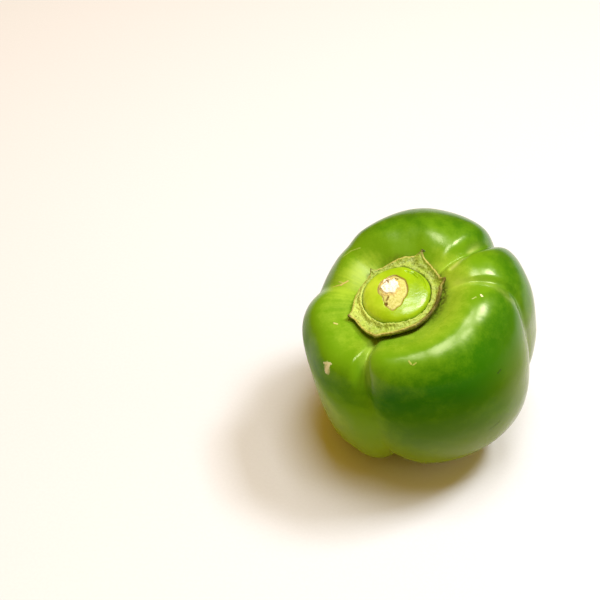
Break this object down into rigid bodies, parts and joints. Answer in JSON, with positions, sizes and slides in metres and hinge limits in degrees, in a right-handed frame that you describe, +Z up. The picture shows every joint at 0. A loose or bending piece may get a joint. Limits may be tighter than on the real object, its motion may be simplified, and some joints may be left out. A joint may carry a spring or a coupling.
{
  "type": "bell pepper",
  "caption": "Whole green bell pepper standing on the feet of its lobes, with a toothed calyx and a short domed stem stub.",
  "frame": {"origin": "middle of the bounding box's underside, on the surface that the pepper stands on", "axes": "+Z up; the pepper's own axis runs up to the stem and leans 11 degrees to -X and 6 degrees to -Y; -Y is the side towards the camera in the picture, +X the picture's right"},
  "size_m": [0.0867, 0.0898, 0.0843],
  "materials": {
    "pepper_skin": "waxy gloss",
    "calyx_green": "dry and wrinkled",
    "stem_green": "satin"
  },
  "bodies": {
    "root": {"fruit": "pepper_skin", "calyx": "calyx_green", "stem": "stem_green"}
  },
  "joints": []
}
